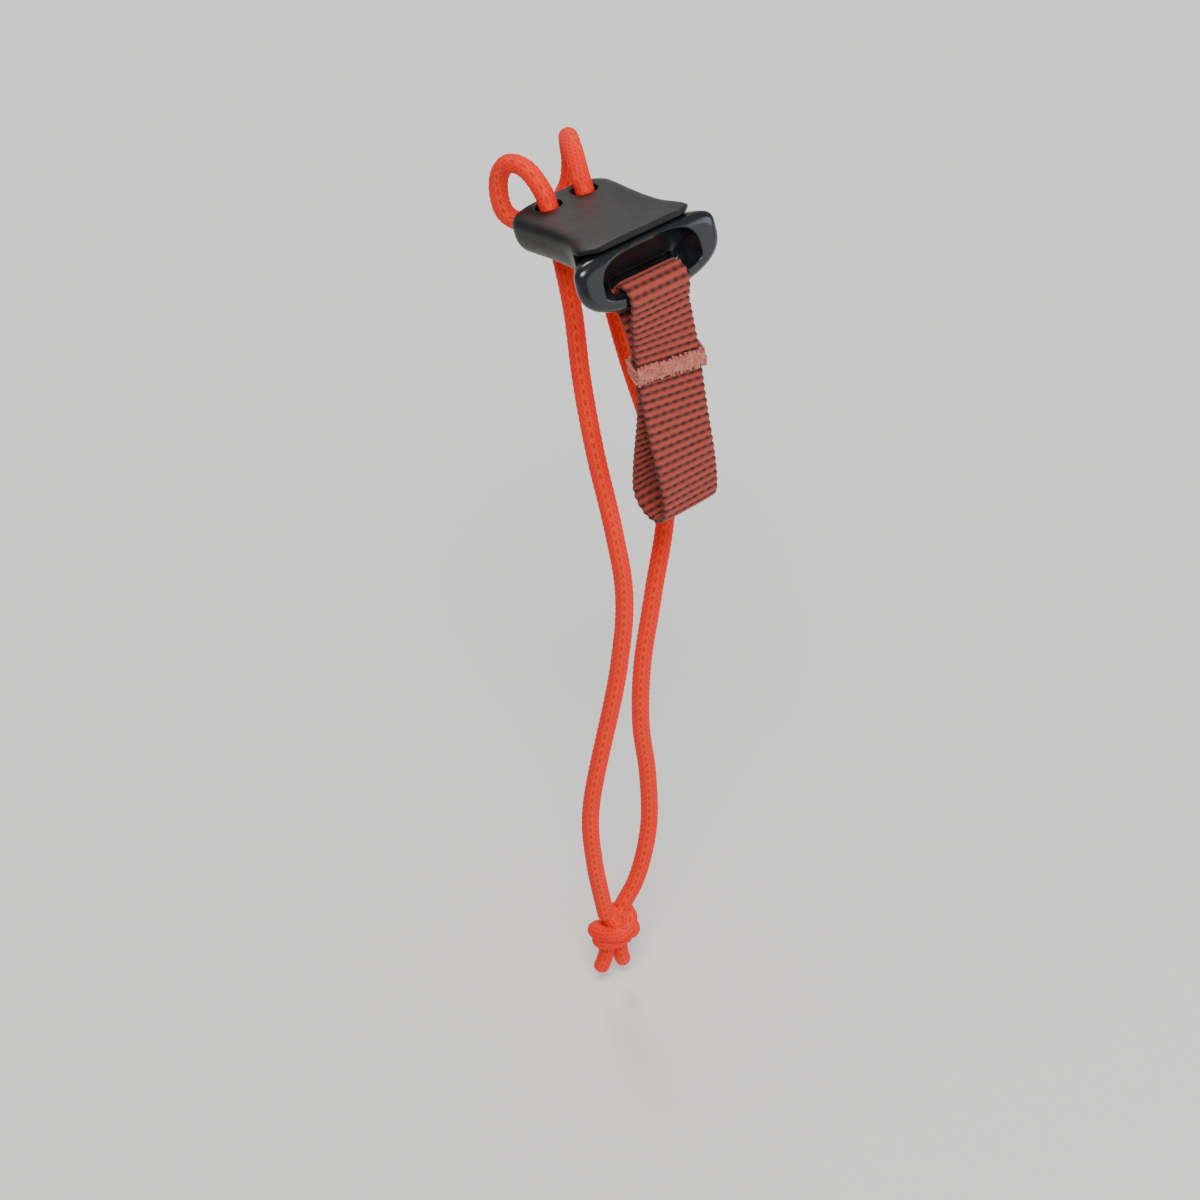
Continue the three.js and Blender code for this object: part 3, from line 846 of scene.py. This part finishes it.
# The drawcord's route, in millimetres: up the left strand, through the lock, a short bight
# behind it, and back down through the lock to the knot.
CORD_ROUTE = [
    (-3.6, -15.4, -152.4),
    (-6.5, -16, -135),
    (-7.5, -16.5, -120.5),
    (-2.6, -17.5, -87.5),
    (-1.8, -17.9, -70),
    (-3.2, -16.8, -55),
    (-4.4, -13.4, -39.7),
    (-4.1, -9.4, -27.5),
    (-3.4, -6, -15.5),
    (-3.3, -2.2, -5),
    (-3.3, 0, 0),
    (-3.3, 2, 2.5),
    (-3.5, 6, 4),
    (-3.9, 10.2, 2.4),
    (-4.2, 12.4, -1.5),
    (-4.2, 12.5, -5.5),
    (-3.4, 12.1, -9),
    (-1, 11.8, -11.7),
    (2.5, 11.7, -12.8),
    (6, 11.8, -11.7),
    (8.4, 12.1, -9),
    (9.2, 12.5, -5.5),
    (8.8, 12.4, -1.5),
    (7.2, 10.2, 2.4),
    (5.1, 6, 4),
    (3.6, 2, 2.5),
    (3.3, 0, 0),
    (3.3, -2.2, -5),
    (3.5, -6, -15.5),
    (4.6, -9.6, -27.5),
    (6.2, -13.4, -40),
    (7.2, -16.6, -54),
    (3.9, -18, -73),
    (2.2, -17.6, -89),
    (2.3, -17.2, -104),
    (4.3, -16.6, -119),
    (4.9, -16.2, -134),
    (2.8, -15.6, -147),
    (0, -15.4, -152.4),
]
KNOT_CENTRE = np.array([-1.9, -15.2, -157.2])


def make_drawcord(material):
    line = catmull_rom(CORD_ROUTE, 12)
    cord = braided_tube("drawcord_braid", line)
    finish_piece(cord, "drawcord", "cord", material, "drawcord")
    return cord


def knot_strands():
    """Two strands side by side through one overhand knot, ending in splayed tails."""
    lines = []
    for side in (-1, 1):
        route = [
            (1.1 * side, 0, 5.2),
            (1.0 * side + 0.3, -1.0, 3.0),
            (1.9 + 0.7 * side, -2.3, 0.4 - 0.3 * side),
            (1.6 + 0.6 * side, -1.0, -2.6 + 0.5 * side),
            (-0.6, 1.4 + 0.5 * side, -2.4 + 0.6 * side),
            (-2.9, 0.6 + 0.7 * side, -0.9 + 0.7 * side),
            (-2.8, -1.9, 0.5 + 1.0 * side),
            (-0.4, -3.0 - 0.3 * side, 0.6 + 1.2 * side),
            (2.5, -1.6, 1.2 + 1.1 * side),
            (2.9, 1.0, 0.8 + 1.1 * side),
            (0.8, 2.0, 0.2 + 0.8 * side),
            (-0.4 + 0.7 * side, 0.6, -1.6),
            (-0.3 + 1.3 * side, -0.4, -5.0),
            (-0.2 + 1.9 * side, -0.2, -8.4 - 0.4 * side),
            (-0.1 + 2.5 * side, 0.1, -10.6 - 0.6 * side),
        ]
        lines.append(catmull_rom([KNOT_CENTRE + np.array(point) for point in route], 14))
    return lines


def make_knot(material):
    parts = []
    for index, line in enumerate(knot_strands()):
        parts.append(braided_tube(f"strand{index}", line, radius=1.42, sides=32, round_ends=0.5))
    knot = join(parts, "knot_strands")
    return finish_piece(knot, "drawcord", "cord", material, "drawcord_knot")


def join(parts, name):
    """Joins pieces into the first one."""
    for obj in bpy.context.selected_objects:
        obj.select_set(False)
    for obj in parts:
        obj.select_set(True)
    bpy.context.view_layer.objects.active = parts[0]
    bpy.ops.object.join()
    parts[0].name = name
    parts[0].select_set(False)
    return parts[0]


# The spring round the plunger's neck

def make_spring(material):
    wire = SPRING_WIRE / 2
    radius = SPRING_DIAMETER / 2
    line = []
    for t in np.linspace(0, 1, 240):
        angle = t * SPRING_TURNS * 2 * math.pi
        rise = SPRING_START + wire + (SPRING_END - SPRING_START - 2 * wire) * t
        z = NECK_Z + radius * math.sin(angle)
        line.append((radius * math.cos(angle), station_to_y(rise), z))
    points, faces = plain_tube(np.array(line), wire, 14)
    coil = mesh_object("spring_coil", points, faces, Matrix.Scale(MM, 4) @ LOCK)
    finish_piece(coil, "housing", "spring", material, "spring")
    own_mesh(coil)
    return coil


# The webbing tab

WEBBING_WIDTH = 10.5
PLY = 1.1
RIB_PITCH = 1.4
STITCH_PITCH = 1.4
YARN_PITCH = 0.21
PLY_PITCH = 0.16
EYE_RADIUS = 1.65
PINCH_TOP = -12.0
PINCH_BOTTOM = -15.6
FOLD_BOTTOM = -43.0
LOOP_GAP = 6.4
TAB_LEAN = 5.0
TAB_DRIFT = 1.6
TURN_AT_TACK = math.radians(10)
TURN_AT_FOLD = math.radians(-3)
RIB_DEPTH = 0.34
TAPE_STEP = 0.12
TAPE_COLUMNS = 89


def bar_centre():
    return LOCK @ Vector((0, station_to_y(BAR_STATION), BAR_Z))


def hang(points):
    """Below the eye the tab leans outward and to the right. It turns left, then back again."""
    points = np.array(points, float)
    z = points[:, 2]
    drop = np.maximum(0, -z - 3)
    turn = TURN_AT_TACK * smooth_rise(-z, 2, 13)
    turn += (TURN_AT_FOLD - TURN_AT_TACK) * smooth_rise(-z, 16, 39)
    x = points[:, 0] * np.cos(turn) + points[:, 1] * np.sin(turn)
    y = points[:, 1] * np.cos(turn) - points[:, 0] * np.sin(turn)
    drift = TAB_DRIFT * (1 - np.exp(-drop / 10))
    lean = TAB_LEAN * (1 - np.exp(-drop / 15))
    return np.stack([x + drift, y - lean, z], axis=1)


def tab_line():
    """The middle of the tape, in Y and Z about the bar: one closed line."""
    eye = EYE_RADIUS + PLY / 2
    pinch = PLY / 2 + 0.02
    loop = LOOP_GAP / 2 + PLY / 2
    fold = FOLD_BOTTOM + LOOP_GAP / 2 + PLY
    below = PINCH_BOTTOM - 8
    rows = [
        arc(eye, 0, 0, math.pi, 60),
        bezier((-eye, 0), (-eye, -5), (-pinch, PINCH_TOP + 6), (-pinch, PINCH_TOP), 60),
        bezier((-pinch, PINCH_TOP), (-pinch, -15), (-pinch, -16), (-pinch, PINCH_BOTTOM), 20),
        bezier((-pinch, PINCH_BOTTOM), (-pinch, below), (-loop, fold + 9), (-loop, fold), 90),
        arc(loop, fold, math.pi, 2 * math.pi, 60),
        bezier((loop, fold), (loop, fold + 9), (pinch, below), (pinch, PINCH_BOTTOM), 90),
        bezier((pinch, PINCH_BOTTOM), (pinch, -16), (pinch, -15), (pinch, PINCH_TOP), 20),
        bezier((pinch, PINCH_TOP), (pinch, PINCH_TOP + 6), (eye, -5), (eye, 0), 60),
    ]
    flat = np.concatenate(rows + [rows[0][:1]])
    return np.stack([np.zeros(len(flat)), flat[:, 0], flat[:, 1]], axis=1)


def rib_height(along, across):
    """The weave: plump ribs straight across, with deep stitches in a row along each groove."""
    rib = np.sin(math.pi * along / RIB_PITCH) ** 2
    row = np.round(along / RIB_PITCH)
    shift = np.where(row % 2 == 0, 0.0, 0.5)
    stitch = 0.5 + 0.5 * np.cos(2 * math.pi * (across / STITCH_PITCH + shift))
    groove = (1 - rib) ** 1.1 * (0.7 + 0.3 * stitch)
    ripple = 0.06 * np.cos(2 * math.pi * across / (STITCH_PITCH / 2))
    return np.clip(1 - groove - (ripple + 0.06) * rib, 0, 1)


def tape_normals(line):
    """The direction out of the tape's outer side at each point of its closed middle line."""
    tangent = np.roll(line, -1, axis=0) - np.roll(line, 1, axis=0)
    tangent /= np.linalg.norm(tangent, axis=1)[:, None]
    return np.stack([np.zeros(len(line)), tangent[:, 2], -tangent[:, 1]], axis=1)


def tape_surface(line, along, stretch):
    """Points of the outer side and then the inner one, with their rib heights and weave map."""
    normal = tape_normals(line)
    across = np.linspace(-0.5, 0.5, TAPE_COLUMNS) * WEBBING_WIDTH
    edge = np.sqrt(np.clip(1 - (np.abs(across) / (WEBBING_WIDTH / 2)) ** 14, 0, 1))
    points, heights, maps = [], [], []
    for sign in (1, -1):
        columns, edges = across[::sign], edge[::sign]
        for i in range(len(line)):
            height = rib_height(np.full(TAPE_COLUMNS, along[i] * stretch), columns)
            reach = sign * (PLY / 2 - RIB_DEPTH + RIB_DEPTH * height) * (0.45 + 0.55 * edges)
            wobble = 0.10 * math.sin(2 * math.pi * along[i] * stretch / RIB_PITCH)
            for x, r, h, e in zip(columns, reach, height, edges):
                widen = wobble * (abs(x) / (WEBBING_WIDTH / 2)) ** 6 * (1 if x > 0 else -1)
                points.append(line[i] + normal[i] * r + [x + widen, 0, 0])
                # The colour's rib value is lowered towards the tape's edges, which paints shade
                # along them.
                heights.append(h * (0.5 + 0.5 * e))
                maps.append((along[i], x))
    return points, heights, maps


def tape_faces(count, width):
    """Faces of the tape's two sides, and of the strips that close its two edges."""
    inner = count * width
    faces = []
    for i in range(count):
        row, following = i * width, (i + 1) % count * width
        for side in (0, inner):
            for a, b in ((side + row + k, side + following + k) for k in range(width - 1)):
                faces.append((a, a + 1, b + 1, b))
        end, next_end = row + width - 1, following + width - 1
        faces.append((end, inner + row, inner + following, next_end))
        faces.append((inner + end, row, following, inner + next_end))
    return faces


def make_pull_tab(material):
    line, along = resample(tab_line(), TAPE_STEP)
    line, along = line[:-1], along[:-1]
    total = along[-1] + (along[1] - along[0])
    ribs = round(total / RIB_PITCH / 2) * 2
    points, heights, maps = tape_surface(line, along, ribs * RIB_PITCH / total)
    place = Matrix.Translation(bar_centre() * MM) @ Matrix.Scale(MM, 4)
    faces = tape_faces(len(line), TAPE_COLUMNS)
    tab = mesh_object("webbing_tab", hang(points), faces, place)
    # The rib attribute carries the painted shade for the webbing's colour: its grooves and
    # edges.
    tab.data.attributes.new("rib", "FLOAT", "POINT").data.foreach_set("value", heights)
    layer = tab.data.uv_layers.new(name="weave")
    for loop in tab.data.loops:
        layer.data[loop.index].uv = maps[loop.vertex_index]
    outward(tab)
    finish_piece(tab, "pull_tab", "webbing", material, "pull_tab")
    return tab


def outward(obj):
    mesh = bmesh.new()
    mesh.from_mesh(obj.data)
    bmesh.ops.recalc_face_normals(mesh, faces=mesh.faces)
    mesh.to_mesh(obj.data)
    mesh.free()


# The bar tack. Its threads are drawn one after another from one seeded row of random numbers.

TACK_HALF_WIDTH = WEBBING_WIDTH / 2 + 0.3
TACK_LOW = PINCH_BOTTOM + 0.6
TACK_HIGH = PINCH_TOP - 0.3
TACK_DEPTH = PLY + 0.1
TACK_SEED = 7


def add_tube(points, faces, line, radius):
    new_points, new_faces = plain_tube(line, radius, 8)
    offset = len(points)
    points.extend(new_points)
    faces.extend(tuple(v + offset for v in face) for face in new_faces)


def zigzag_thread(rng, face, layer):
    """One layer of stitches that run up and down across the tape."""
    line = []
    steps = 34 + 4 * layer
    for i in range(steps + 1):
        x = TACK_HALF_WIDTH * (2 * i / steps - 1) + rng.uniform(-0.12, 0.12)
        z = (TACK_HIGH if i % 2 else TACK_LOW) + rng.uniform(-0.45, 0.35)
        rise = TACK_DEPTH + 0.12 * layer + rng.uniform(-0.05, 0.2)
        middle = (TACK_HIGH + TACK_LOW) / 2
        line.append((x, face * rise, z))
        line.append((x + TACK_HALF_WIDTH / steps, face * (rise + 0.22), middle))
    return resample(np.array(line), 0.2)[0]


def lengthwise_thread(rng, face, level):
    """One wavy thread from edge to edge over the zigzag."""
    swing = rng.uniform(0, 6)
    line = []
    for x in np.linspace(-TACK_HALF_WIDTH, TACK_HALF_WIDTH, 34):
        lump = 0.42 + 0.16 * math.sin(2.4 * x + swing)
        z = level + 0.25 * math.sin(1.7 * x + swing)
        line.append((x, face * (TACK_DEPTH + lump), z))
    return np.array(line)


def edge_thread(rng, edge, level):
    """One thread round an edge of the pinched tape."""
    slope = rng.uniform(-0.2, 0.4)
    reach = TACK_HALF_WIDTH + rng.uniform(0.0, 0.3)
    line = []
    for t in np.linspace(-math.pi / 2, math.pi / 2, 9):
        x = edge * (reach + 0.15 * math.cos(t))
        line.append((x, TACK_DEPTH * 1.25 * math.sin(t), level + slope * t))
    return np.array(line)


def make_bar_tack(material):
    """Uneven stitches over both faces of the pinched tape and round its edges."""
    rng = np.random.default_rng(TACK_SEED)
    points, faces = [], []
    for face in (-1, 1):
        for layer in range(3):
            line = zigzag_thread(rng, face, layer)
            add_tube(points, faces, line, rng.uniform(0.17, 0.23))
        for level in np.linspace(TACK_LOW + 0.5, TACK_HIGH - 0.5, 4):
            line = lengthwise_thread(rng, face, level)
            add_tube(points, faces, line, rng.uniform(0.19, 0.27))
    for edge in (-1, 1):
        for level in np.linspace(TACK_LOW + 0.2, TACK_HIGH - 0.2, 9):
            add_tube(points, faces, edge_thread(rng, edge, level), 0.19)
    place = Matrix.Translation(bar_centre() * MM) @ Matrix.Scale(MM, 4)
    tack = mesh_object("bar_tack_threads", hang(points), faces, place)
    return finish_piece(tack, "pull_tab", "thread", material, "bar_tack")


def main():
    make_camera()
    make_floor()
    make_lights()
    cord = braid_material()
    knot = make_knot(cord)
    make_drawcord(cord)
    housing = housing_material()
    make_housing_cover(housing)
    make_housing_base(housing)
    make_plunger(plunger_material())
    make_spring(spring_material())
    make_pull_tab(webbing_material())
    make_bar_tack(thread_material())


main()
